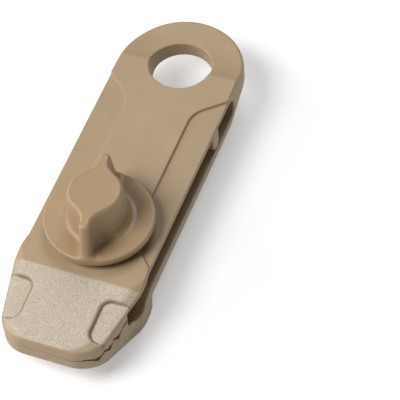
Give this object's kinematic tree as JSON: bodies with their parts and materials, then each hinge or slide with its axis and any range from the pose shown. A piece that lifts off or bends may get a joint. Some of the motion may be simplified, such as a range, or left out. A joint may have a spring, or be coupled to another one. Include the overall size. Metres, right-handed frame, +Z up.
{
  "type": "tarp clip",
  "caption": "Moulded hairpin clip with toothed jaws that clamp a tarpaulin's edge under a winged thumb screw, and a ring eye that ties it to a rope or a hook.",
  "frame": {"origin": "middle of the underside's box: mid-width, mid-length, on the surface that the clip lies on", "axes": "+X across the clip, +Y from the jaw tips to the ring eye, +Z up through the knob"},
  "size_m": [0.028, 0.092, 0.025],
  "materials": {
    "body_nylon": "matte, fine spark-eroded grain, coarser sand grain on the tip pads",
    "knob_nylon": "matte, smoother than the body",
    "zinc_steel": "zinc plated"
  },
  "bodies": {
    "upper": {"upper_jaw": "body_nylon"},
    "lower": {"lower_jaw": "body_nylon"},
    "thumb_screw": {"knob": "knob_nylon", "clamp_screw": "zinc_steel"},
    "nut": {"screw_nut": "zinc_steel"}
  },
  "joints": [
    {"name": "knob_turn", "type": "hinge", "parent": "upper", "child": "thumb_screw", "pos_m": [0, -0.0146, 0.0126], "axis": [0, 0, 1], "range_deg": [0, 1620]},
    {"name": "nut_travel", "type": "slide", "parent": "upper", "child": "nut", "axis": [0, 0, -1], "range_m": [0, 0.00361]},
    {"name": "jaw_hinge", "type": "hinge", "parent": "upper", "child": "lower", "pos_m": [0, 0.0254, 0.00455], "axis": [1, 0, 0], "range_deg": [0, 4.6]}
  ],
  "couplings": [
    {"joint": "nut_travel", "follows": "knob_turn", "m_per_rad": 0.00012732},
    {"joint": "jaw_hinge", "follows": "knob_turn", "ratio": 0.002836}
  ]
}
